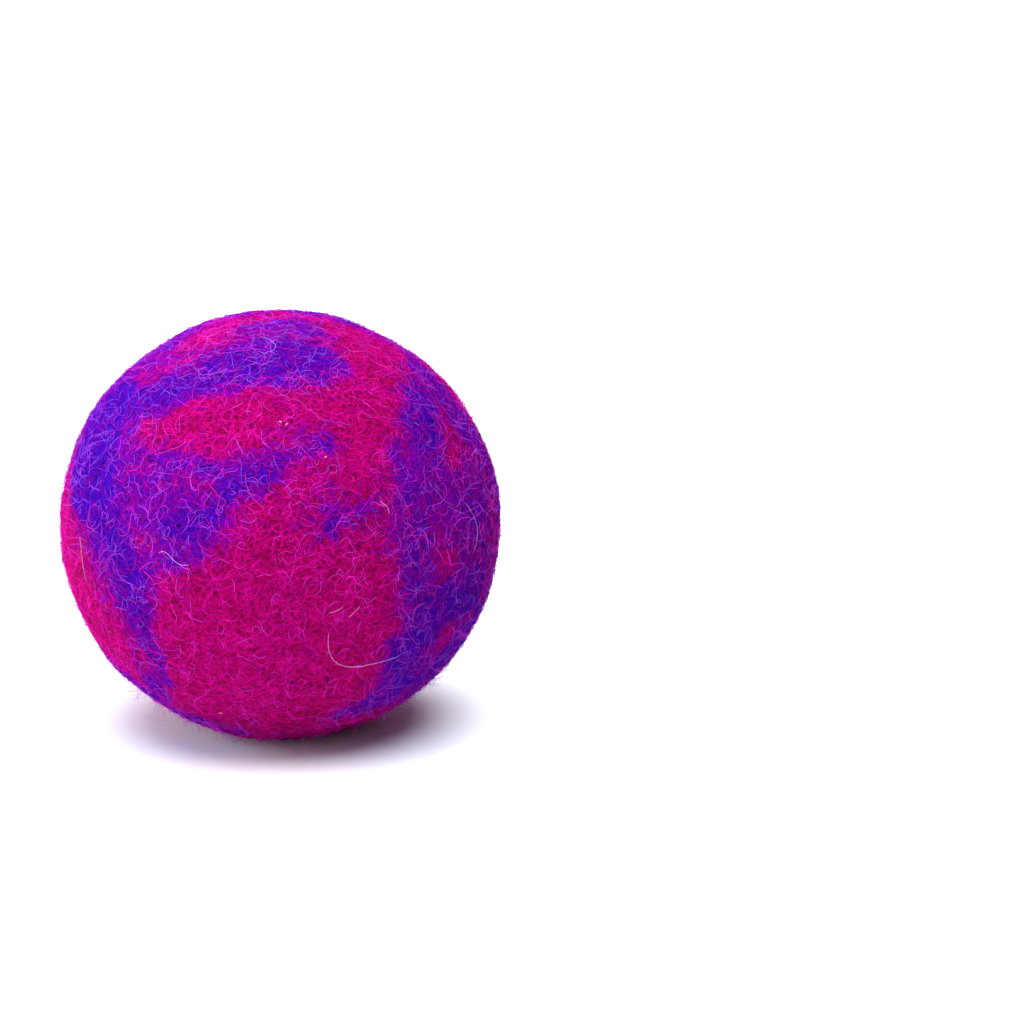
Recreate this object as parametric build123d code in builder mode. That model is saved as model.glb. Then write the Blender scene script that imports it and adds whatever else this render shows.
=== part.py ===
"""A wet-felted wool dryer ball: wraps of carded wool round a small knot, a dyed coat, and wisps laid into it."""

import os
from math import asin, cos, pi, radians, sin, sqrt

from build123d import *

# Driving dimensions, in millimetres. The ball stands on the floor at z = 0, with its middle over the origin.
ball_width = 71.0
crown_height = 34.0  # from the widest level up to the top
base_height = 33.5  # from the widest level down to the floor
rest_flat_width = 21.8  # the flat that the ball has settled onto, measured to its sharp corner
rest_edge_radius = 12.0  # rounds the corner between that flat and the side

knot_diameter = 9.0  # the knot of wool that the first wrap starts on
wrap_thickness = 5.0  # each wrap of carded wool, once felted
coat_thickness = 2.6  # the dyed coat, outside the wraps
wisp_depth = 0.8  # how far a wisp is felted into the coat

cutter_near = 0.5  # a wisp's cutter starts this share of the half width from the middle
cutter_far = 1.6  # and ends this share of it away, outside the ball

outline_spans = 20  # spans of the curve through the side view's outline

# The wraps between the coiled core and the dyed coat, from the inside out.
wraps = ["first_wrap", "second_wrap", "third_wrap", "fourth_wrap"]

# Each wisp's spine, as (azimuth, elevation, width) in degrees, seen from the middle of the ball.
# Azimuth 0 is the front, -Y, and 90 is +X. Elevation 90 is the crown.
wisps = {
    # over the crown and the shoulders
    "crown_wisp": [(31, 56, 4), (25, 61, 10), (12, 65, 14), (-7, 66, 15), (-27, 64, 13), (-39, 57, 11),
                   (-50, 52, 10), (-57, 46, 4)],
    "top_rim_wisp": [(-88, 72, 4), (-105, 77, 8), (-140, 80, 9), (170, 79, 9), (130, 75, 4)],
    "left_rim_wisp": [(-97, 55, 3), (-101, 61, 8), (-106, 67, 3)],
    "right_rim_wisp": [(84, 72, 3), (91, 66, 8), (94, 58, 8), (92, 51, 3)],
    "left_shoulder_wisp": [(-85, 55, 4), (-81, 47, 9), (-77, 40, 11), (-69, 31, 12), (-62, 23, 11), (-57, 18, 4)],
    "right_shoulder_wisp": [(68, 49, 3), (67, 43, 10), (61, 39, 13), (51, 33, 10), (41, 29, 5), (32, 25, 2)],
    # round the front and the flanks
    "left_flank_wisp": [(-54, 12, 5), (-50, 7, 12), (-46, 0, 13), (-41, -7, 13), (-37, -14, 10), (-38, -21, 6),
                        (-40, -29, 5), (-44, -39, 2)],
    "middle_streak_wisp": [(-50, 25, 2), (-36, 27, 4), (-25, 26, 7), (-14, 26, 7), (-6, 30, 8), (2, 33, 7),
                           (12, 34, 6), (18, 33, 2)],
    "middle_patch_wisp": [(-42, 14, 2), (-34, 13, 6), (-27, 12, 9), (-20, 13, 11), (-13, 12, 3)],
    "front_spot_wisp": [(14, 11, 1), (15, 14, 3), (17, 18, 1)],
    "small_spot_wisp": [(20, 13, 1), (23, 15, 3), (27, 16, 1)],
    "right_spot_wisp": [(42, 17, 1), (46, 19, 3), (50, 20, 1)],
    "right_waist_wisp": [(35, 19, 3), (35, 12, 6), (38, 5, 9), (42, -2, 12), (46, -7, 8), (48, -10, 3)],
    "right_hip_wisp": [(52, -14, 4), (48, -18, 10), (43, -24, 12), (40, -31, 8), (39, -37, 3)],
    "right_flank_wisp": [(72, 30, 3), (70, 20, 9), (67, 10, 11), (64, -2, 10), (60, -13, 3)],
    # low down, above the flat
    "base_left_wisp": [(-67, -35, 3), (-61, -42, 6), (-54, -50, 7), (-44, -56, 6), (-32, -60, 3)],
    "base_streak_wisp": [(21, -54, 2), (29, -49, 5), (35, -46, 4), (39, -43, 2)],
    "base_right_wisp": [(48, -44, 3), (52, -39, 7), (57, -34, 6), (61, -29, 3)],
    # round the back
    "back_crown_wisp": [(150, 62, 3), (165, 55, 10), (180, 50, 12), (197, 46, 11), (212, 38, 4)],
    "back_left_wisp": [(-118, 40, 3), (-125, 28, 10), (-131, 15, 13), (-133, 2, 11), (-128, -11, 4)],
    "back_middle_wisp": [(145, 22, 3), (158, 24, 7), (172, 20, 9), (186, 19, 8), (200, 25, 3)],
    "back_right_wisp": [(112, 38, 3), (108, 26, 10), (104, 12, 12), (106, -2, 10), (113, -14, 4)],
    "back_low_wisp": [(135, -18, 3), (150, -26, 9), (168, -29, 11), (186, -24, 8), (200, -16, 3)],
    "back_base_wisp": [(-150, -38, 3), (-162, -46, 8), (-182, -50, 8), (-200, -54, 3)],
    "left_low_wisp": [(-95, -12, 3), (-101, -22, 8), (-104, -33, 9), (-98, -43, 3)],
    "right_low_wisp": [(84, -24, 3), (92, -33, 8), (103, -41, 8), (117, -45, 3)],
}

# Worked out from the sizes above.
half_width = ball_width / 2
base_full_depth = base_height / sqrt(1 - (rest_flat_width / ball_width) ** 2)
core_depth = coat_thickness + wrap_thickness * len(wraps)
middle = Vector(0, 0, base_height)
side_view = Plane(origin=middle, x_dir=(1, 0, 0), z_dir=(0, -1, 0))

os.makedirs("parts", exist_ok=True)


def side_profile(depth, edge_radius=0):
    """The right half of the ball's side view this far under the surface: part ellipses, and a flat below."""
    width, top = half_width - depth, crown_height - depth
    low, floor = base_full_depth - depth, base_height - depth
    cut_angle = asin(floor / low)
    angles = [-cut_angle + (pi + 2 * cut_angle) * i / outline_spans for i in range(outline_spans + 1)]
    with BuildSketch() as profile:
        with BuildLine():
            side = Spline([(width * cos(angle), (top if 0 < angle < pi else low) * sin(angle)) for angle in angles])
            Line(side @ 1, side @ 0)
        make_face()
        if edge_radius:
            fillet(vertices().group_by(Axis.Y)[0], edge_radius)
        Rectangle(ball_width, 2 * ball_width, align=(Align.MIN, Align.CENTER), mode=Mode.INTERSECT)
    return profile.sketch


def wool_layer(outer_profile, inner_profile=None):
    """One layer of wool: the space between two side profiles, or all of the outer one, turned about Z."""
    with BuildPart() as layer:
        with BuildSketch(side_view):
            add(outer_profile)
            if inner_profile:
                add(inner_profile, mode=Mode.SUBTRACT)
        revolve(axis=Axis.Z)
    return layer.part


def direction(azimuth, elevation):
    """The unit vector out of the middle of the ball."""
    across, up = radians(azimuth), radians(elevation)
    return Vector(sin(across) * cos(up), -cos(across) * cos(up), sin(up))


def wisp_outline(spine):
    """The directions along both edges of a wisp, and over its two tips, in order round it."""
    along = [direction(azimuth, elevation) for azimuth, elevation, _ in spine]
    left, right, tips = [], [], []
    for i, ahead in enumerate(along):
        travel = (along[min(i + 1, len(along) - 1)] - along[max(i - 1, 0)]).normalized()
        sideways = ahead.cross(travel).normalized()
        half = radians(spine[i][2] / 2)
        left.append(ahead * cos(half) + sideways * sin(half))
        right.append(ahead * cos(half) - sideways * sin(half))
        tips.append(ahead * cos(half) + travel * sin(half) * (1 if i else -1))
    return left + [tips[-1]] + right[::-1] + [tips[0]]


def wisp_cutter(spine):
    """A cone of rays from the middle of the ball through a wisp's outline."""
    edge = wisp_outline(spine)
    facing = sum(edge, Vector()).normalized()
    with BuildPart() as cutter:
        for reach in (half_width * cutter_near, half_width * cutter_far):
            window = Plane(origin=middle + facing * reach, z_dir=facing)
            with BuildSketch(window):
                with BuildLine():
                    Spline([window.to_local_coords(middle + ray * (reach / ray.dot(facing))) for ray in edge],
                           periodic=True)
                make_face()
        loft(ruled=True)
    return cutter.part


def write(piece, name):
    """Labels a finished piece and writes its STEP file."""
    piece.label = name
    export_step(piece, f"parts/{name}.step")


# The knot in the very middle, and the coiled core wound round it.
with BuildSketch() as knot_profile:
    Circle(knot_diameter / 2)
    Rectangle(knot_diameter, knot_diameter, align=(Align.MIN, Align.CENTER), mode=Mode.INTERSECT)
write(wool_layer(knot_profile.sketch), "start_knot")
write(wool_layer(side_profile(core_depth), knot_profile.sketch), "core_roll")

# Four wraps of carded wool, each a closed shell over the one before.
for turn, name in enumerate(wraps):
    inside = core_depth - turn * wrap_thickness
    write(wool_layer(side_profile(inside - wrap_thickness), side_profile(inside)), name)

# Each wisp lies in a recess of its own, which reaches out past the surface and in as deep as the wisp is felted.
surface_profile = side_profile(0, rest_edge_radius)
surface = wool_layer(surface_profile)
under_wisps = wool_layer(side_profile(wisp_depth))
recesses = []
for name, spine in wisps.items():
    with BuildPart() as recess:
        add(wisp_cutter(spine))
        add(under_wisps, mode=Mode.SUBTRACT)
    recesses.append(recess.part)
    with BuildPart() as wisp:
        add(recess.part)
        add(surface, mode=Mode.INTERSECT)
    write(wisp.part, name)

# The dyed coat, with the recesses in its outside.
with BuildPart() as magenta_coat:
    add(wool_layer(surface_profile, side_profile(coat_thickness)))
    add(recesses, mode=Mode.SUBTRACT)
write(magenta_coat.part, "magenta_coat")
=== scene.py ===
# %% [markdown]
# A wool dryer ball is carded wool wound round a knot, wetted, and rolled until its fibres lock into felt. From a
# step away it is a plain ball, so all of its looks are in the skin: thousands of fine dyed fibres, lying every way,
# with darker gaps between them. This lesson keeps the ball's exact size from the CAD frame, makes a lumpy felt skin,
# and then lays real fibres on it, tuft by tuft.

import math

import bpy
import numpy as np
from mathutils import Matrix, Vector
from mathutils.bvhtree import BVHTree
from mathutils.noise import noise_vector, seed_set


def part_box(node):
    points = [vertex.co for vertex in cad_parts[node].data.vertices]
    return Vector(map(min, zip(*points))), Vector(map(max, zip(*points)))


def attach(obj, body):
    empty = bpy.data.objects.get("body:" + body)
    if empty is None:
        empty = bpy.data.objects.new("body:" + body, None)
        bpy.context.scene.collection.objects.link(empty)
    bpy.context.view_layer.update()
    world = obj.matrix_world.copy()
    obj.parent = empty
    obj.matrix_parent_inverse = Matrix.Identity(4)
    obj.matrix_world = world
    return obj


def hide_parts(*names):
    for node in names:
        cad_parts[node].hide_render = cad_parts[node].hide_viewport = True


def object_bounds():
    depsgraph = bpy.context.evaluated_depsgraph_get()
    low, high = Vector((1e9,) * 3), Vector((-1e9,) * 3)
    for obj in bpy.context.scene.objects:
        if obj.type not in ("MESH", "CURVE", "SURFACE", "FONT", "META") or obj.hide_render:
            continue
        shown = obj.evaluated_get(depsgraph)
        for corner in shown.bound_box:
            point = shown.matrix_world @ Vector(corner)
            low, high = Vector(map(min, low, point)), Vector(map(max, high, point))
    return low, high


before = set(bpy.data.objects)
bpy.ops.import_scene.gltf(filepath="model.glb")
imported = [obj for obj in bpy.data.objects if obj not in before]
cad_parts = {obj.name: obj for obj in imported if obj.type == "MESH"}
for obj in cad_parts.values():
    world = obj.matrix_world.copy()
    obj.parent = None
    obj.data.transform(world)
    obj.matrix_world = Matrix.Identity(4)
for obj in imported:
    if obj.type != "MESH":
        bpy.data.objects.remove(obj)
cad_low, cad_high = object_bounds()
print("the ball measures", [round((high - low) * 1000, 1) for low, high in zip(cad_low, cad_high)], "mm")

# %% [markdown]
# Lengths below are in metres, as everywhere in Blender, so a millimetre gets a name. The middle of the ball is the
# middle of its start knot. The nodes fall into three groups: the inner layers, the dyed coat and the wisps. Chance
# plays a large part in felt, and it is seeded twice, because Blender's own noise otherwise takes its seed from the
# clock and no two runs are alike.

# %% Name the parts of the ball
MM = 0.001
knot_low, knot_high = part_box("start_knot")
middle = (knot_low + knot_high) / 2
half_width = (cad_high.x - cad_low.x) / 2
inner_layers = ["start_knot", "core_roll", "first_wrap", "second_wrap", "third_wrap", "fourth_wrap"]
wisps = sorted(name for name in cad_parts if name.endswith("_wisp"))
SEED = 7
rng = np.random.default_rng(SEED)
seed_set(SEED)
print(len(inner_layers), "inner layers,", len(wisps), "wisps, half width", round(half_width / MM, 1), "mm")


# %% [markdown]
# A direction out of the ball is handiest as an azimuth and an elevation: 0 is the front, 90 the right, and
# elevation 90 the crown. The CAD model uses the same angles.

# %% A helper for directions
def direction(azimuth, elevation):
    across, up = math.radians(azimuth), math.radians(elevation)
    return np.array((math.sin(across) * math.cos(up), -math.cos(across) * math.cos(up), math.sin(up)))


print("front", direction(0, 0).round(2), "crown", direction(0, 90).round(2))


# %% [markdown]
# Operators act on all that is selected, and loading a file leaves its objects selected. So one small helper
# leaves exactly one object selected and active, and the others each do one job on it: apply a modifier as soon as
# it is set up, weld points that lie on top of each other, or copy some nodes of the CAD model into one object.

# %% Helpers for selecting and for modifiers
def only(piece):
    bpy.ops.object.select_all(action="DESELECT")
    piece.select_set(True)
    bpy.context.view_layer.objects.active = piece


def apply_modifier(piece, kind, **settings):
    only(piece)
    modifier = piece.modifiers.new(kind.lower(), kind)
    for name, value in settings.items():
        setattr(modifier, name, value)
    bpy.ops.object.modifier_apply(modifier=modifier.name)


def weld(piece):
    """Merges the points that lie on top of each other."""
    only(piece)
    bpy.ops.object.mode_set(mode="EDIT")
    bpy.ops.mesh.select_all(action="SELECT")
    bpy.ops.mesh.remove_doubles(threshold=0.001 * MM)
    bpy.ops.object.mode_set(mode="OBJECT")


def copy_of(nodes, name):
    """One loose object with the merged meshes of some CAD nodes, to measure or to wrap onto."""
    bpy.ops.object.select_all(action="DESELECT")
    for node in nodes:
        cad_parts[node].select_set(True)
    bpy.context.view_layer.objects.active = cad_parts[nodes[0]]
    bpy.ops.object.duplicate()
    bpy.ops.object.join()
    copy = bpy.context.object
    copy.name = name
    copy.parent = None
    weld(copy)
    return copy


outer_form = copy_of(["magenta_coat"] + wisps, "outer_form")
print("the coat with its wisps has", len(outer_form.data.polygons), "faces")

# %% [markdown]
# The felt skin is the coat's outer wall. It could be the CAD surface itself, but that is perfectly smooth, and
# hand-rolled felt has soft lumps. So a fine icosphere, whose faces are all about the same size, is wrapped onto the
# CAD form from outside, set back a little to leave room for the nap, and pushed in and out by three cloud textures:
# a broad one for lumps, a middling one for dents, and a fine one for the pebbly grain of the felt. The wall of the
# coat comes later, by Solidify, once the outside has been dyed.

# %% Make the felt skin
NAP_ROOM = 0.30 * MM
COAT_WALL = 2.2 * MM
REST_GAP = 0.15 * MM  # between the skin and the floor, filled by the nap
START_SIZE = 1.3  # the sphere's first radius, in half widths of the ball, so that it starts outside
lumps = {"broad": (11 * MM, 0.8 * MM), "middling": (4 * MM, 0.2 * MM), "fine": (1.3 * MM, 0.1 * MM)}  # size, height

bpy.ops.object.select_all(action="DESELECT")
bpy.ops.mesh.primitive_ico_sphere_add(subdivisions=7, radius=half_width * START_SIZE,
                                      location=middle)
felt_skin = bpy.context.object
felt_skin.name = felt_skin.data.name = "felt_skin"
bpy.ops.object.transform_apply(location=True, rotation=True, scale=True)
apply_modifier(felt_skin, "SHRINKWRAP", target=outer_form, wrap_method="PROJECT", use_negative_direction=True,
               use_positive_direction=False)
apply_modifier(felt_skin, "DISPLACE", strength=-NAP_ROOM, mid_level=0)
for name, (size, height) in lumps.items():
    clouds = bpy.data.textures.new(name + " lumps", "CLOUDS")
    clouds.noise_scale = size
    apply_modifier(felt_skin, "DISPLACE", texture=clouds, strength=height, mid_level=0.5)
for vertex in felt_skin.data.vertices:
    vertex.co.z = max(vertex.co.z, REST_GAP)
only(felt_skin)
bpy.ops.object.shade_smooth()
skin_tree = BVHTree.FromObject(felt_skin, bpy.context.evaluated_depsgraph_get())
print("the outer wall of the skin has", len(felt_skin.data.polygons), "faces")

# %% [markdown]
# Where a wisp of violet wool lies on the magenta, rolling drags its fibres out and works them under, so the violet
# fades, frays and pools. No rule gives that pattern, so it is drawn as a list of strokes, the way the wisps were
# laid: each stroke runs through a few directions out of the ball, with half its width in degrees. The number before a
# stroke is how blue it is: 0 is pure magenta wool, 0.5 an even mix and 1 the deepest blue-violet.

# %% Draw the strokes of violet
strokes = [
    # over the crown
    (0.74, [(-60, 38, 7), (-48, 43, 7), (-36, 50, 7), (-24, 56, 9), (-8, 61, 11), (8, 61, 11), (22, 60, 9),
            (33, 57, 5)]),
    (0.55, [(-72, 52, 4), (-56, 57, 4)]),
    (0.56, [(-20, 76, 5), (20, 80, 6), (45, 70, 3)]),
    (0.66, [(-76, 58, 5), (-100, 64, 8), (-130, 72, 9), (170, 76, 10), (130, 72, 9), (104, 62, 7), (96, 52, 4)]),
    # down the left side
    (0.92, [(-68, 38, 10), (-65, 29, 12), (-59, 20, 12), (-50, 13, 8)]),
    (0.58, [(-52, 38, 5), (-48, 32, 6), (-46, 24, 6)]),
    (0.66, [(-92, 60, 8), (-93, 42, 12), (-91, 26, 10), (-88, 14, 6)]),
    (0.78, [(-50, 11, 7), (-43, 5, 8), (-37, -1, 8), (-36, -9, 7), (-35, -17, 4), (-35, -25, 3), (-35, -33, 3)]),
    (0.66, [(-36, -31, 3), (-42, -39, 4), (-54, -46, 6), (-68, -42, 7), (-82, -32, 6), (-90, -20, 4)]),
    (0.60, [(-54, -46, 6), (-40, -54, 6), (-24, -60, 5)]),
    # across the front
    (0.55, [(-46, 20, 8), (-34, 18, 9), (-22, 15, 9), (-15, 13, 6)]),
    (0.66, [(-40, 28, 2), (-28, 27, 3), (-16, 27, 3), (-8, 24, 4)]),
    (0.92, [(-26, 11, 3), (-18, 12, 4), (-13, 15, 4)]),
    (0.55, [(-30, 2, 5), (-18, 6, 4)]),
    (0.84, [(-9, 20, 3), (-5, 24, 4), (0, 27, 4), (4, 30, 3)]),
    (0.52, [(4, 29, 2), (10, 31, 2), (14, 33, 3)]),
    (0.82, [(15, 33, 3), (18, 33, 3)]),
    (0.50, [(-2, 20, 2), (2, 23, 2), (6, 26, 2)]),
    (1.00, [(18, 12.5, 2.5), (18.5, 15, 2.5)]),
    (0.50, [(20, 17, 2), (24, 16, 2), (29, 15, 2)]),
    (0.70, [(26, 14.5, 1.5), (28, 16, 1.5)]),
    # down the right side
    (0.88, [(63, 42, 5), (59, 38, 6), (55, 33, 6), (50, 30, 4)]),
    (0.66, [(82, 46, 7), (78, 32, 8), (84, 20, 8), (88, 6, 8)]),
    (0.62, [(40, 28, 3), (40, 20, 5), (40, 10, 6), (41, 0, 6), (41, -8, 6)]),
    (0.50, [(50, 22, 9), (54, 10, 9), (66, 12, 11), (66, 0, 12)]),
    (0.85, [(46, 18, 2), (48, 20, 2)]),
    (0.76, [(66, -14, 7), (54, -12, 7), (46, -16, 8), (42, -24, 8), (43, -33, 7), (48, -40, 5)]),
    (0.72, [(66, -30, 8), (56, -38, 7), (48, -42, 5)]),
    (0.86, [(46, -43, 4), (36, -44, 4), (27, -47, 3)]),
    (0.70, [(84, -14, 9), (82, -26, 10), (76, -38, 8), (62, -48, 6)]),
]
print(len(strokes), "strokes")


# %% [markdown]
# The back of the ball has no drawn strokes: there the violet simply lies where the wisps of the CAD model are. A
# search tree over all the faces of the wisps tells how far any point is from the nearest one.

# %% Find the nearest wisp
def tree_of_wisps():
    points, faces = [], []
    for wisp in wisps:
        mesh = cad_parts[wisp].data
        faces += [[corner + len(points) for corner in face.vertices] for face in mesh.polygons]
        points += [vertex.co.copy() for vertex in mesh.vertices]
    return BVHTree.FromPolygons(points, faces)


wisp_tree = tree_of_wisps()
print("the crown is", round(wisp_tree.find_nearest(middle + Vector((0, 0, half_width)))[3] / MM, 1),
      "mm from a wisp")

# %% [markdown]
# How blue the wool is could be painted on the mesh by hand. Here it is worked out for any point instead, so that the
# skin and each fibre can ask the same question: how far the point is from the middle line of each stroke, next to
# half that stroke's width. Smooth noise pushes the points about before they are looked up, which frays the edges.

# %% Measure the dye over the ball
WISP_EDGE = (0.2 * MM, 2.4 * MM)  # violet nearer to a wisp than the first, magenta past the second
WISP_BLUE = 0.85
BACK_STARTS = 0.3  # how far back, of the ball's half width, the wisps take over from the strokes
STROKE_EDGE = 8.0  # the most degrees over which a stroke fades; a narrow one fades over its own width
FRAY = {"size": 2.4 * MM, "reach": 1.5 * MM}


def unit(vectors):
    return vectors / np.maximum(np.linalg.norm(vectors, axis=-1, keepdims=True), 1e-12)


def ease(value):
    value = np.clip(value, 0, 1)
    return value * value * (3 - 2 * value)


def frayed(points):
    """The points pushed about by smooth noise, so that whatever is looked up there gets ragged edges."""
    return points + FRAY["reach"] * np.array([noise_vector(Vector(point) / FRAY["size"]) for point in points])


def dye_at(points):
    """How blue the wool is at each point, 0 to 1."""
    points = frayed(points)
    out = unit(points - np.array(middle))
    blue = np.zeros(len(points))
    for strength, stroke in strokes:
        for (az_a, el_a, half_a), (az_b, el_b, half_b) in zip(stroke, stroke[1:]):
            start, along = direction(az_a, el_a), direction(az_b, el_b) - direction(az_a, el_a)
            share = np.clip((out - start) @ along / (along @ along), 0, 1)
            away = np.degrees(np.linalg.norm(out - start - share[:, None] * along, axis=1))
            half = half_a + (half_b - half_a) * share
            blue = np.maximum(blue, strength * ease(0.5 + (half - away) / np.minimum(2 * half, STROKE_EDGE)))
    away = np.array([wisp_tree.find_nearest(Vector(point))[3] for point in points])
    near_wisp = WISP_BLUE * ease((WISP_EDGE[1] - away) / (WISP_EDGE[1] - WISP_EDGE[0]))
    return np.maximum(blue, near_wisp * ease(out[:, 1] / BACK_STARTS))


def points_of(mesh):
    found = np.empty(len(mesh.vertices) * 3)
    mesh.vertices.foreach_get("co", found)
    return found.reshape(-1, 3)


skin_dye = dye_at(points_of(felt_skin.data))
felt_skin.data.attributes.new("dye", "FLOAT", "POINT").data.foreach_set("value", skin_dye)
apply_modifier(felt_skin, "SOLIDIFY", thickness=COAT_WALL, offset=-1, use_even_offset=False)
print("the skin is", round(100 * skin_dye.mean()), "percent blue, with", len(felt_skin.data.polygons), "faces")


# %% [markdown]
# A material here is a short chain of nodes. They could be dragged together in the shader editor; in a script, a
# helper for each kind of node does the same, and keeps a material as short to read as a recipe.

# %% A small kit for material nodes
def new_material(name):
    material = bpy.data.materials.new(name)
    material.use_nodes = True
    return material, material.node_tree.nodes, material.node_tree.links


def noise(nodes, links, scale, detail=3.0, distortion=0.0):
    """A noise pattern on the object's own coordinates, with scale in features per metre."""
    place = nodes.new("ShaderNodeTexCoord")
    texture = nodes.new("ShaderNodeTexNoise")
    texture.inputs["Scale"].default_value = scale
    texture.inputs["Detail"].default_value = detail
    texture.inputs["Distortion"].default_value = distortion
    links.new(place.outputs["Object"], texture.inputs["Vector"])
    return texture.outputs["Fac"]


def ramp(nodes, links, value, *stops):
    """Colours along a value, as (place, colour) stops."""
    node = nodes.new("ShaderNodeValToRGB")
    links.new(value, node.inputs["Fac"])
    while len(node.color_ramp.elements) < len(stops):
        node.color_ramp.elements.new(0.5)
    for element, (place, colour) in zip(node.color_ramp.elements, stops):
        element.position = place
        element.color = (*colour, 1)
    return node.outputs["Color"]


def blend_colours(nodes, links, share, first, second, how="MIX"):
    node = nodes.new("ShaderNodeMix")
    node.data_type = "RGBA"
    node.blend_type = how
    for socket, value in ((node.inputs[0], share), (node.inputs[6], first), (node.inputs[7], second)):
        if isinstance(value, (int, float)):
            socket.default_value = value
        else:
            links.new(value, socket)
    return node.outputs[2]


def calculate(nodes, links, how, *values):
    node = nodes.new("ShaderNodeMath")
    node.operation = how
    for socket, value in zip(node.inputs, values):
        if isinstance(value, (int, float)):
            socket.default_value = value
        else:
            links.new(value, socket)
    return node.outputs[0]


def attribute(nodes, name):
    node = nodes.new("ShaderNodeAttribute")
    node.attribute_name = name
    return node.outputs["Fac"]


print("the kit has noise, ramp, blend, calculate and attribute nodes")

# %% [markdown]
# The ball is dyed in two wools, magenta and violet, but felt shows more colours than that: fibres of both lie mixed,
# and the finest have taken less dye. So each dye has a few neighbours, from the darkest to the palest. The fibres
# also use them as lit and shaded copies, pale for high fibres and dark for low ones, which is painted light.

# %% List the dyes
dyes = {
    "crimson": (0.40, 0.0005, 0.10),
    "magenta": (0.60, 0.001, 0.19),
    "hot_pink": (0.86, 0.003, 0.42),
    "mauve": (0.74, 0.04, 0.70),
    "purple": (0.31, 0.001, 0.42),
    "violet": (0.13, 0.002, 0.46),
    "blue_violet": (0.055, 0.002, 0.50),
    "lilac": (0.36, 0.08, 0.80),
    "undyed": (0.80, 0.44, 0.78),
    "straw": (0.80, 0.55, 0.16),
}
print(len(dyes), "dyes")


# %% [markdown]
# The skin's colour has three layers: which dye and how deep it is, both because felt takes dye unevenly, and a fine
# speckle of painted shade, dark in the gaps between fibres and bright on the fibres. Which dye comes from the values
# on the mesh, and the rest from noise on the object's own coordinates. A picture of felt could do this too, but noise
# has no seams and is sharp at any distance. The speckle also drives the bump, and wool is matt, so there is next to
# no gloss.

# %% Mix the dyed felt
def dyed_felt():
    material, nodes, links = new_material("dyed_felt")
    shader = nodes["Principled BSDF"]
    speckle = noise(nodes, links, 1500, detail=4)
    grain = noise(nodes, links, 420, detail=3, distortion=0.6)
    stray = calculate(nodes, links, "SUBTRACT", noise(nodes, links, 500, detail=5, distortion=0.8), 0.5)
    into_blue = calculate(nodes, links, "MULTIPLY_ADD", stray, 0.5, attribute(nodes, "dye"))
    pinks = ramp(nodes, links, grain, (0.35, dyes["crimson"]), (0.7, dyes["magenta"]))
    purples = ramp(nodes, links, into_blue, (0.4, dyes["purple"]), (0.65, dyes["violet"]),
                   (0.9, dyes["blue_violet"]))
    share = nodes.new("ShaderNodeMapRange")
    share.inputs["From Min"].default_value = 0.22
    share.inputs["From Max"].default_value = 0.45
    links.new(into_blue, share.inputs["Value"])
    colour = blend_colours(nodes, links, share.outputs["Result"], pinks, purples)
    # Painted shade: where the speckle is low, the colour is darkened as if shade lay in the gaps between fibres.
    painted_gap_shade = ramp(nodes, links, speckle, (0.32, (0.2, 0.2, 0.2)), (0.55, (0.6, 0.6, 0.6)),
                (0.75, (0.85, 0.85, 0.85)))
    links.new(blend_colours(nodes, links, 1.0, colour, painted_gap_shade, "MULTIPLY"), shader.inputs["Base Color"])
    bump = nodes.new("ShaderNodeBump")
    bump.inputs["Strength"].default_value = 0.8
    bump.inputs["Distance"].default_value = 0.25 * MM
    links.new(speckle, bump.inputs["Height"])
    links.new(bump.outputs["Normal"], shader.inputs["Normal"])
    shader.inputs["Roughness"].default_value = 0.95
    shader.inputs["Specular IOR Level"].default_value = 0.02
    return material


felt_skin.data.materials.clear()
felt_skin.data.materials.append(dyed_felt())
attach(felt_skin, "root")
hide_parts("magenta_coat")
print("the skin wears", felt_skin.data.materials[0].name)


# %% [markdown]
# Under the coat the wool is undyed. Nobody sees it, but whoever cuts the ball open does, so each inner layer gets
# natural wool of its own tone: creamy, with darker streaks that run the way that layer was wound.

# %% Mix the natural wool
def natural_wool(name, tone, turn):
    material, nodes, links = new_material(name)
    shader = nodes["Principled BSDF"]
    place = nodes.new("ShaderNodeTexCoord")
    mapping = nodes.new("ShaderNodeMapping")
    mapping.inputs["Rotation"].default_value = (turn, turn * 0.6, 0)
    mapping.inputs["Scale"].default_value = (1, 1, 7)
    links.new(place.outputs["Object"], mapping.inputs["Vector"])
    streaks = nodes.new("ShaderNodeTexNoise")
    streaks.inputs["Scale"].default_value = 160
    streaks.inputs["Detail"].default_value = 6
    streaks.inputs["Distortion"].default_value = 0.9
    links.new(mapping.outputs["Vector"], streaks.inputs["Vector"])
    dark = tuple(channel * 0.62 for channel in tone)
    links.new(ramp(nodes, links, streaks.outputs["Fac"], (0.3, dark), (0.62, tone)), shader.inputs["Base Color"])
    bump = nodes.new("ShaderNodeBump")
    bump.inputs["Distance"].default_value = 0.3 * MM
    links.new(streaks.outputs["Fac"], bump.inputs["Height"])
    links.new(bump.outputs["Normal"], shader.inputs["Normal"])
    shader.inputs["Roughness"].default_value = 0.95
    return material


CREAM = np.array((0.72, 0.66, 0.54))
DARKER_EACH, TURN_EACH = 0.05, 0.7  # from one layer to the next: a share of the tone, and radians
for i, name in enumerate(inner_layers):
    wool = natural_wool(name + "_wool", tuple(CREAM * (1 - DARKER_EACH * i)), turn=TURN_EACH * i)
    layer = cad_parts[name]
    layer.data.materials.clear()
    layer.data.materials.append(wool)
print("six inner layers in natural wool")


# %% [markdown]
# A felt fibre lies on the skin, wanders, and dives back in. Hair particles could draw it, but they aren't geometry
# and are gone from an exported model. So each fibre is walked over the skin, one short step at a time: it turns a
# little at each step, is pulled back onto the skin, and is lifted by less than half a millimetre in its middle.

# %% Walk fibres over the skin
FLOOR_GAP = 0.04 * MM  # the lowest that the middle of a fibre may lie
ROOT_DEPTH = 0.05 * MM  # how deep in the skin a fibre starts


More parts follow.
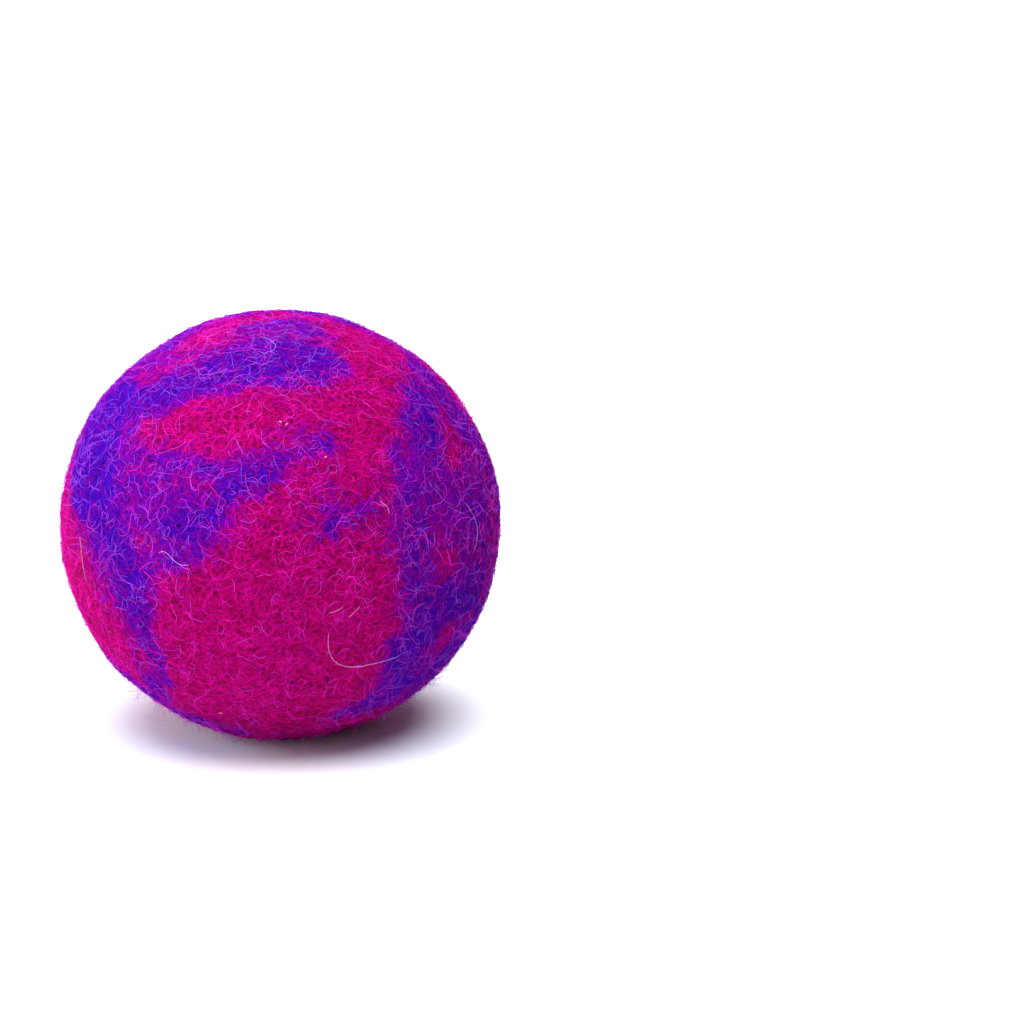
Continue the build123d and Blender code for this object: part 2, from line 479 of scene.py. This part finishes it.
def on_skin(points):
    """The nearest place on the skin for each point, and the way out of the skin there."""
    found = [skin_tree.find_nearest(Vector(point))[:2] for point in points]
    return np.array([place for place, _ in found]), np.array([normal for _, normal in found])


def turned(headings, normals, angles):
    """Headings turned about the normals by some angles."""
    sideways = np.cross(normals, headings)
    return headings * np.cos(angles)[:, None] + sideways * np.sin(angles)[:, None]


def walk(roots, headings, lengths, steps, curl, lift):
    """Paths of fibres from their roots, as (fibre, point, xyz). Lift is each point's height, as a row a fibre."""
    here, bend = roots, rng.normal(0, curl, len(roots))
    path = []
    for i in range(steps + 1):
        here, normals = on_skin(here)
        path.append(here + normals * lift[:, i, None])
        headings = unit(headings - normals * (headings * normals).sum(1, keepdims=True))
        bend = 0.6 * bend + rng.normal(0, curl, len(roots))
        headings = turned(headings, normals, bend)
        here = here + headings * (lengths / steps)[:, None]
    path = np.stack(path, axis=1)
    path[:, :, 2] = np.maximum(path[:, :, 2], FLOOR_GAP)
    return path


def low_arcs(height, steps, highest):
    """Lifts of fibres that start and end in the skin and rise unevenly between, each by its own height, 0 to 1."""
    along = np.linspace(0, math.pi, steps + 1)
    rise = np.sin(along)[None, :] ** 0.6 * (0.12 + 0.88 * height[:, None])
    wobble = 1 + 0.35 * rng.normal(size=(len(height), steps + 1))
    return highest * rise * wobble - ROOT_DEPTH


crown = on_skin(np.array([middle + Vector((0, 0, half_width))]))[0][0]
print("the skin's crown is", round(crown[2] / MM, 1), "mm above the floor")

# %% [markdown]
# All fibres of a piece are splines of one curve, which an operator turns into one mesh. A round section would be
# truer, but a fibre is finer than a hair and there are tens of thousands, so the section is a triangle and each
# fibre has a few dozen faces. It thins towards both ends. The new mesh has forgotten which fibre wears which shade,
# so its faces are told again, and the ends are welded shut.

# %% Give fibres their section and turn them into a mesh
bpy.ops.object.select_all(action="DESELECT")
bpy.ops.mesh.primitive_circle_add(vertices=3, radius=MM)
section = bpy.context.object
section.name = "fibre_section"
bpy.ops.object.convert(target="CURVE")
print("a fibre has", len(section.data.splines[0].points), "sides")


def spin(name, paths, girths, shades, materials, tips=0.35):
    """One mesh piece of fibres: their paths, thickness and material number each.

    The conversion puts all end caps first, from the last fibre to the first, and then the sides in order.
    """
    curve = bpy.data.curves.new(name, "CURVE")
    curve.dimensions = "3D"
    for path, girth in zip(paths, girths / MM / 2):
        steps = len(path) - 1
        taper = np.interp(np.arange(steps + 1), [0, 1, steps - 1, steps], [tips, 1, 1, tips])
        strand = curve.splines.new("POLY")
        strand.points.add(steps)
        strand.points.foreach_set("co", np.column_stack([path, np.ones(steps + 1)]).ravel())
        strand.points.foreach_set("radius", taper * girth)
    curve.bevel_mode = "OBJECT"
    curve.bevel_object = section
    curve.use_fill_caps = True
    for material in materials:
        curve.materials.append(material)
    piece = bpy.data.objects.new(name, curve)
    bpy.context.collection.objects.link(piece)
    only(piece)
    bpy.ops.object.convert(target="MESH")
    bpy.ops.object.shade_smooth()
    sides_each = [3 * (len(path) - 1) for path in paths]
    by_face = np.concatenate([np.repeat(shades[::-1], 2), np.repeat(shades, sides_each)])
    piece.data.polygons.foreach_set("material_index", by_face)
    weld(piece)
    piece.data.name = name
    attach(piece, "root")
    return piece


# %% [markdown]
# A fibre is finer than any pattern that could be seen on it, so its wool is one even dye, set on the shader's own
# sockets. The pattern of the felt comes from which fibre gets which shade, and it is there in the mesh itself.

# %% Mix a dye for each shade of fibre
def fibre_wool(name, colour):
    material, nodes, _ = new_material(name + "_fibre")
    shader = nodes["Principled BSDF"]
    shader.inputs["Base Color"].default_value = (*colour, 1)
    shader.inputs["Roughness"].default_value = 0.8
    shader.inputs["Specular IOR Level"].default_value = 0.02
    return material


shade_names = ["crimson", "blue_violet", "violet", "magenta", "purple", "hot_pink", "mauve", "lilac"]
fibre_wools = [fibre_wool(name, dyes[name]) for name in shade_names]
print(len(fibre_wools), "shades of dyed fibre")


# %% [markdown]
# A fibre's shade is a draw from the dyes of the place that it starts in. Each row below is the chance of each shade,
# in wool that is magenta, evenly mixed and blue. The shades run from dark to pale, and a fibre that rides high
# draws from the pale end; the finest hairs look palest. This is painted light: high fibres are painted paler as if
# lit, and low ones darker as if shaded by those above. That is what makes the nap look deep.

# %% Draw shades by place
PULLED = 1.0 * MM  # how far felting has pulled a fibre from the wool that it came with
# The share that height decides is painted light: the higher a fibre lies, the paler the shade it draws.
PAINTED_LIGHT_BY_HEIGHT = 0.45  # the share of the draw that a fibre's height decides, and chance the rest
chances = np.array([
    # crimson, blue violet, violet, magenta, purple, hot pink, mauve, lilac
    [0.25, 0.00, 0.00, 0.38, 0.03, 0.30, 0.04, 0.00],
    [0.08, 0.12, 0.24, 0.12, 0.32, 0.02, 0.07, 0.03],
    [0.00, 0.50, 0.31, 0.01, 0.12, 0.00, 0.02, 0.04],
])


def draw_shades(points, height, bluer=0.0):
    """Shades for fibres that start at some points. Height is 0 for the lowest fibre and 1 for the highest; a higher
    fibre draws a paler shade, as painted light.
    """
    pulled_from = points + rng.normal(0, PULLED, points.shape)
    blue = np.clip(dye_at(pulled_from) + bluer, 0, 1)[:, None] * 2
    mixed = chances[0] * np.clip(1 - blue, 0, 1) + chances[1] * (1 - abs(1 - blue))
    mixed = mixed + chances[2] * np.clip(blue - 1, 0, 1)
    totals = np.cumsum(mixed, axis=1)
    draw = PAINTED_LIGHT_BY_HEIGHT * height + (1 - PAINTED_LIGHT_BY_HEIGHT) * rng.uniform(0, 1, len(points))
    return ((draw * totals[:, -1])[:, None] > totals).sum(axis=1).clip(0, len(shade_names) - 1)


front = np.tile(middle + Vector((0, -half_width, 0)), (100, 1))
print("a hundred fibres at the front draw", np.bincount(draw_shades(front, rng.uniform(0, 1, 100))))


# %% [markdown]
# Fibres start all over a surface, as thick in one place as in another. Starting one at each vertex would show the
# mesh's pattern, so each start is drawn by chance: first a triangle, the larger the likelier, and then a place in it.

# %% Scatter starts over a surface
def scatter(points, triangles, count, jitter=0.0):
    """Points spread evenly over some triangles."""
    a, b, c = (points[triangles[:, i]] for i in range(3))
    area = np.linalg.norm(np.cross(b - a, c - a), axis=1)
    chosen = rng.choice(len(triangles), count, p=area / area.sum())
    u, v = rng.uniform(0, 1, (2, count, 1))
    u, v = np.where(u + v > 1, 1 - u, u), np.where(u + v > 1, 1 - v, v)
    found = a[chosen] + u * (b[chosen] - a[chosen]) + v * (c[chosen] - a[chosen])
    return found + rng.normal(0, 1, found.shape) * jitter


def outward_triangles(mesh):
    """A mesh's points, and those of its triangles that face out of the ball."""
    mesh.calc_loop_triangles()
    points = points_of(mesh)
    triangles = np.empty(len(mesh.loop_triangles) * 3, int)
    mesh.loop_triangles.foreach_get("vertices", triangles)
    triangles = triangles.reshape(-1, 3)
    a, b, c = (points[triangles[:, i]] for i in range(3))
    facing = (unit(np.cross(b - a, c - a)) * unit((a + b + c) / 3 - np.array(middle))).sum(axis=1)
    return points, triangles[facing > 0.6]


skin_points, skin_triangles = outward_triangles(felt_skin.data)
print("fibres can start on", len(skin_triangles), "triangles of the skin")

# %% [markdown]
# The violet wisps come first. Each one is a tuft pulled off a length of dyed wool and laid on, so its fibres follow
# the way it was pulled, fan out a little, and stray past its edge into the magenta. The tuft's own long direction
# is the widest spread of its points in the CAD model.

# %% Lay the violet wisps
STEPS = 7  # straight runs in a fibre
FEWEST = 60  # fibres in the smallest tuft
TUFT_DENSITY = 2.0  # fibres to each square millimetre of wisp
tufts = 0
for wisp in wisps:
    points, triangles = outward_triangles(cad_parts[wisp].data)
    a, b, c = (points[triangles[:, i]] for i in range(3))
    size = np.linalg.norm(np.cross(b - a, c - a), axis=1).sum() / 2 / MM**2
    count = max(FEWEST, int(size * TUFT_DENSITY))
    long_way = np.linalg.svd(points - points.mean(axis=0), full_matrices=False)[2][0]
    roots, normals = on_skin(scatter(points, triangles, count, jitter=0.5 * MM))
    headings = unit(long_way - normals * (normals @ long_way)[:, None])
    headings = turned(headings, normals, rng.normal(0, 0.6, count) + math.pi * rng.integers(0, 2, count))
    height = rng.uniform(0, 1, count)
    lengths = rng.uniform(4.0, 8.0, count) * MM
    paths = walk(roots, headings, lengths, STEPS, 0.35, low_arcs(height, STEPS, 0.42 * MM))
    girths = rng.uniform(0.045, 0.08, count) * MM
    shades = draw_shades(roots, height, bluer=0.15)
    tuft = spin(wisp.replace("_wisp", "_tuft"), paths, girths, shades, fibre_wools)
    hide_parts(wisp)
    tufts += count
print(tufts, "fibres in", len(wisps), "tufts")

# %% [markdown]
# The nap covers the whole ball. It is made side by side, six pieces in all, so that none grows too heavy. Rolling
# between two palms leaves a faint flow in it, so about half of the fibres follow a slow swirl and the rest lie
# anyhow. A texture of fibres would be lighter, but it would look printed where the ball turns away from the eye.

# %% Lay the nap
NAP_COUNT = 24500
sides = {"front": (0, -1, 0), "right": (1, 0, 0), "back": (0, 1, 0), "left": (-1, 0, 0), "crown": (0, 0, 1),
         "base": (0, 0, -1)}


def flow(points, normals):
    """A slow swirl over the ball: a direction along the skin that drifts from place to place."""
    out = unit(points - np.array(middle))
    angle = 2.2 * np.sin(4.1 * out[:, 0] + 2 * out[:, 2] + 1.1) + 2.0 * np.sin(4.7 * out[:, 1] + 5 * out[:, 2]) + 0.8
    level = unit(np.cross(normals, np.array((0.2, 0.1, 1.0))))
    return turned(level, normals, angle)


roots, normals = on_skin(scatter(skin_points, skin_triangles, NAP_COUNT))
nearest_side = np.argmax(unit(roots - np.array(middle)) @ np.array(list(sides.values()), float).T, axis=1)
for i, side in enumerate(sides):
    here, out = roots[nearest_side == i], normals[nearest_side == i]
    count = len(here)
    spread = np.where(rng.uniform(size=count) < 0.55, 0.4, 3.0)
    headings = turned(flow(here, out), out, rng.normal(0, 1, count) * spread)
    height = rng.uniform(0, 1, count)
    lengths = rng.uniform(2.6, 6.2, count) * MM
    paths = walk(here, headings, lengths, STEPS, 0.5, low_arcs(height, STEPS, 0.42 * MM))
    girths = rng.uniform(0.035, 0.07, count) * MM
    nap = spin(side + "_nap", paths, girths, draw_shades(here, height), fibre_wools)
    print(nap.name, count, "fibres,", len(nap.data.polygons), "faces")

# %% [markdown]
# Some fibres escape. Short, very fine hairs stand off the ball with their free ends, and make its outline soft.
# They have lost most of their dye and draw from the pale end of the shades, pink, mauve and lilac; their pale colour
# is also painted sheen, the glow of backlit fuzz along the outline.

# %% Raise the halo
HALO_COUNT = 6100
HALO_STEPS = 5


def rising(count, steps, low, high):
    """Lifts of fibres that start in the skin and leave it, each to its own height."""
    along = np.linspace(0, 1, steps + 1)[None, :]
    return rng.uniform(low, high, (count, 1)) * along ** rng.uniform(1.0, 2.2, (count, 1)) - ROOT_DEPTH


def pale_shades(points):
    """Hot pink and mauve where the wool is magenta, mauve and lilac where it is blue: the pale dye of fine hairs, and
    on the halo also painted sheen.
    """
    pale = np.array([shade_names.index(name) for name in ("hot_pink", "mauve", "lilac")])
    draw = dye_at(points) * 1.2 + rng.uniform(0.1, 0.9, len(points))
    return pale[np.clip(np.digitize(draw, (0.65, 1.1)), 0, 2)]


roots, normals = on_skin(scatter(skin_points, skin_triangles, HALO_COUNT))
headings = turned(flow(roots, normals), normals, rng.uniform(0, 2 * math.pi, HALO_COUNT))
tallest = np.where(rng.uniform(size=HALO_COUNT) < 0.35, 2.6, 1.0)[:, None]
paths = walk(roots, headings, rng.uniform(1.8, 4.5, HALO_COUNT) * MM, HALO_STEPS, 0.6,
             rising(HALO_COUNT, HALO_STEPS, 0.35 * MM, 1.1 * MM) * tallest)
halo = spin("halo_fuzz", paths, rng.uniform(0.035, 0.085, HALO_COUNT) * MM, pale_shades(roots), fibre_wools)
print("halo of", HALO_COUNT, "hairs")

# %% [markdown]
# Long curly hairs lie loosely over the nap, most of them over the crown. They are walked like the nap, only longer,
# in smaller steps and with more air under them.

# %% Lay the curly hairs
CURLY_STEPS = 22


def places_between(count, azimuths, elevations):
    """Directions drawn between two azimuths and two elevations."""
    return np.array([direction(az, el) for az, el in zip(rng.uniform(*azimuths, count),
                                                         rng.uniform(*elevations, count))])


over_crown, over_front = places_between(34, (-55, 35), (48, 80)), places_between(26, (-85, 85), (-40, 50))
all_over = unit(rng.normal(0, 1, (60, 3)))
places = np.vstack([over_crown, over_front, all_over])
roots, normals = on_skin(np.array(middle) + places * half_width)
count = len(roots)
headings = turned(flow(roots, normals), normals, rng.uniform(0, 2 * math.pi, count))
loose = np.abs(low_arcs(rng.uniform(0.4, 1, count), CURLY_STEPS, 0.75 * MM)) + 0.15 * MM
paths = walk(roots, headings, rng.uniform(7, 17, count) * MM, CURLY_STEPS, 0.34, loose)
curly = spin("curly_hairs", paths, rng.uniform(0.035, 0.055, count) * MM, pale_shades(roots), fibre_wools)
print(count, "curly hairs")

# %% [markdown]
# Near the floor, where the ball is rubbed least, a few hairs have worked loose and reach down over its edge.

# %% Lay the loose hairs
FLOOR_HAIRS, FLOOR_STEPS = 30, 14
low_places = places_between(FLOOR_HAIRS, (-60, 25), (-62, -46))
roots, normals = on_skin(np.array(middle) + low_places * half_width)
headings = turned(flow(roots, normals), normals, rng.uniform(0, 2 * math.pi, FLOOR_HAIRS))
paths = walk(roots, headings, rng.uniform(5, 11, FLOOR_HAIRS) * MM, FLOOR_STEPS, 0.5,
             rising(FLOOR_HAIRS, FLOOR_STEPS, 1.0 * MM, 4.5 * MM))
loose_hairs = spin("loose_hairs", paths, rng.uniform(0.03, 0.045, FLOOR_HAIRS) * MM, pale_shades(roots),
                   fibre_wools)
print(FLOOR_HAIRS, "loose hairs")


# %% [markdown]
# Carding leaves a few coarse guard hairs, which hardly take the dye. They are what the eye finds first on a real
# ball, so they are placed one by one and not by chance: each route runs through a few directions out of the ball.

# %% Place the guard hairs
HAIR_STEPS = 16
guard_routes = [
    [(16.2, -15), (15.8, -18.5), (17.2, -22.8), (20.5, -25.4), (25.5, -26), (31.5, -25.6), (39.5, -25.6)],
    [(-27, 4.7), (-25.5, 5.6), (-24, 5.2), (-22, 3.2), (-20, 2.4), (-18.3, 2.8)],
    [(21, -11), (22, -9.4), (24, -8.3)],
    [(16, -9.5), (18, -8.6), (20, -7.8)],
    [(-57, 4), (-55, 2), (-54.5, -3), (-55, -8)],
    [(31, 17), (32.5, 15.5), (33, 13.5)],
    [(-9, 71), (2, 68), (4, 64), (-3, 62), (-8, 65)],
    [(60, 12), (63, 5), (62, -2)],
]


def lay_hair(route, steps, lift):
    """A path on the skin through a few directions, with its corners rounded off."""
    corners = np.array([direction(*stop) for stop in route])
    along = np.linspace(0, len(corners) - 1, steps + 1)
    line = np.column_stack([np.interp(along, np.arange(len(corners)), corners[:, i]) for i in range(3)])
    for _ in range(3):
        line[1:-1] = (line[:-2] + 2 * line[1:-1] + line[2:]) / 4
    found, out = on_skin(np.array(middle) + unit(line) * half_width)
    return found + out * (lift * np.sin(np.linspace(0.15, math.pi, steps + 1)) ** 0.5)[:, None]


guard_paths = [lay_hair(route, HAIR_STEPS, 0.75 * MM) for route in guard_routes]
thick = np.array([0.065] + [0.045] * (len(guard_paths) - 1)) * MM
guard_hairs = spin("guard_hairs", guard_paths, thick, np.zeros(len(thick), int),
                   [fibre_wool("undyed", dyes["undyed"])])
print(len(guard_paths), "guard hairs")

# %% [markdown]
# The odd fleck of straw stays in the wool through washing and carding. Each is a short, thick fibre half a
# millimetre long, straight and tapered at both ends, that lies on top of the nap.

# %% Place the straw
STRAW_LIFT = 0.4 * MM
straw_places = [(17.5, 29.5), (5, 39.5), (7, 38.8), (-19, -45), (150, 30), (-140, -10), (100, 45), (170, -35)]
flecks = []
for az, el in straw_places:
    place, out = on_skin(np.array([np.array(middle) + direction(az, el) * half_width]))
    lean = unit(turned(flow(place, out), out, rng.uniform(0, 6, 1)))[0]
    half_length = rng.uniform(0.15, 0.3) * MM
    flecks.append(place + out * STRAW_LIFT + np.outer((-1, -0.5, 0.5, 1), lean) * half_length)
thick = rng.uniform(0.11, 0.18, len(flecks)) * MM
straw_flecks = spin("straw_flecks", flecks, thick, np.zeros(len(thick), int),
                    [fibre_wool("straw", dyes["straw"])])
print(len(flecks), "flecks of straw")

# %% [markdown]
# The section and the form that the skin was wrapped onto have done their work, so they go before anything is shown.

# %% Clear the working objects
for leftover in (section, outer_form):
    bpy.data.objects.remove(leftover)

# %% [markdown]
# The ball stands on a wide pale sheet. It is only a stage.

# %% Lay the floor
bpy.ops.object.select_all(action="DESELECT")
bpy.ops.mesh.primitive_plane_add(size=12)
floor = bpy.context.object
floor.name = "floor"
pale, nodes, _ = new_material("pale_floor")
nodes["Principled BSDF"].inputs["Base Color"].default_value = (0.90, 0.93, 0.97, 1)
nodes["Principled BSDF"].inputs["Roughness"].default_value = 0.9
nodes["Principled BSDF"].inputs["Specular IOR Level"].default_value = 0.0
floor.data.materials.append(pale)
print("the floor is", round(floor.dimensions.x), "m wide")

# %% [markdown]
# A soft sky lights the ball from all round. A photographer's tent would do it with white cloth; here it is a world
# whose strength grows towards one side, the left, so the form reads as round without hard edges.

# %% Make the soft sky
SKY_LEVEL, SKY_SLOPE, SKY_LOWEST = 0.44, 0.54, 0.02
bright_way = Vector((-1.0, 0.35, 0.45)).normalized()
world = bpy.data.worlds.new("soft_sky")
bpy.context.scene.world = world
world.use_nodes = True
nodes, links = world.node_tree.nodes, world.node_tree.links
place = nodes.new("ShaderNodeTexCoord")
along = nodes.new("ShaderNodeVectorMath")
along.operation = "DOT_PRODUCT"
along.inputs[1].default_value = bright_way
links.new(place.outputs["Generated"], along.inputs[0])
level = calculate(nodes, links, "MULTIPLY_ADD", along.outputs["Value"], SKY_SLOPE, SKY_LEVEL)
links.new(calculate(nodes, links, "MAXIMUM", level, SKY_LOWEST), nodes["Background"].inputs["Strength"])
nodes["Background"].inputs["Color"].default_value = (0.78, 0.88, 1.0, 1)
print("the sky is", SKY_LEVEL + SKY_SLOPE, "strong at its brightest")

# %% [markdown]
# A broad lamp overhead makes the compact shadow at the ball's foot, and another one brightens its left side. Both
# are suns with a very wide disc, which gives the same soft shadow as a large softbox and needs no placing.

# %% Hang two lamps
lamps = {"overhead": ((0.03, -0.08, 1.0), 6.0, 66), "left": ((-1.0, 0.05, 0.12), 3.4, 50)}  # way, strength, degrees
for name, (towards, strength, spread) in lamps.items():
    bpy.ops.object.light_add(type="SUN")
    lamp = bpy.context.object
    lamp.name = name + "_light"
    lamp.data.energy = strength
    lamp.data.angle = math.radians(spread)
    lamp.rotation_euler = Vector(towards).to_track_quat("Z", "Y").to_euler()
print(len(lamps), "lamps")

# %% [markdown]
# The right side of the ball is deep in colour, but a pale floor would glow onto it. Studios stand a dark card there.
# This one is unseen by the camera and casts no shadow, so it only takes the glow away. It is stage too.

# %% Stand the dark card
bpy.ops.object.select_all(action="DESELECT")
bpy.ops.mesh.primitive_cube_add(size=1, location=middle + Vector((64 * MM, -5 * MM, 10 * MM)))
shade_card = bpy.context.object
shade_card.name = "shade_card"
shade_card.scale = (1 * MM, 150 * MM, 85 * MM)
dark, nodes, _ = new_material("dark_card")
nodes["Principled BSDF"].inputs["Base Color"].default_value = (0.05, 0.04, 0.05, 1)
nodes["Principled BSDF"].inputs["Specular IOR Level"].default_value = 0.0
shade_card.data.materials.append(dark)
shade_card.visible_camera = shade_card.visible_shadow = False
print("the card is", round(shade_card.scale.z / MM), "mm high")

# %% [markdown]
# The camera looks slightly down, from about six ball widths away through a long lens, so the ball keeps its round
# outline. It aims to the right of the ball, which then sits left of the middle of the picture.

# %% Place the camera
CAMERA_RISE = math.radians(14)
CAMERA_AWAY = 460 * MM
aim = middle + Vector((37.3 * MM, 0, 1.5 * MM))
bpy.ops.object.camera_add()
camera = bpy.context.object
camera.data.lens = 100
camera.data.clip_start, camera.data.clip_end = 0.01, 20
back = Vector((0, -math.cos(CAMERA_RISE), math.sin(CAMERA_RISE)))
camera.location = aim + back * CAMERA_AWAY
camera.rotation_euler = back.to_track_quat("Z", "Y").to_euler()
bpy.context.scene.camera = camera
bpy.context.scene.view_settings.view_transform = "Standard"
print("the camera is", round(camera.location.z / MM), "mm above the floor")
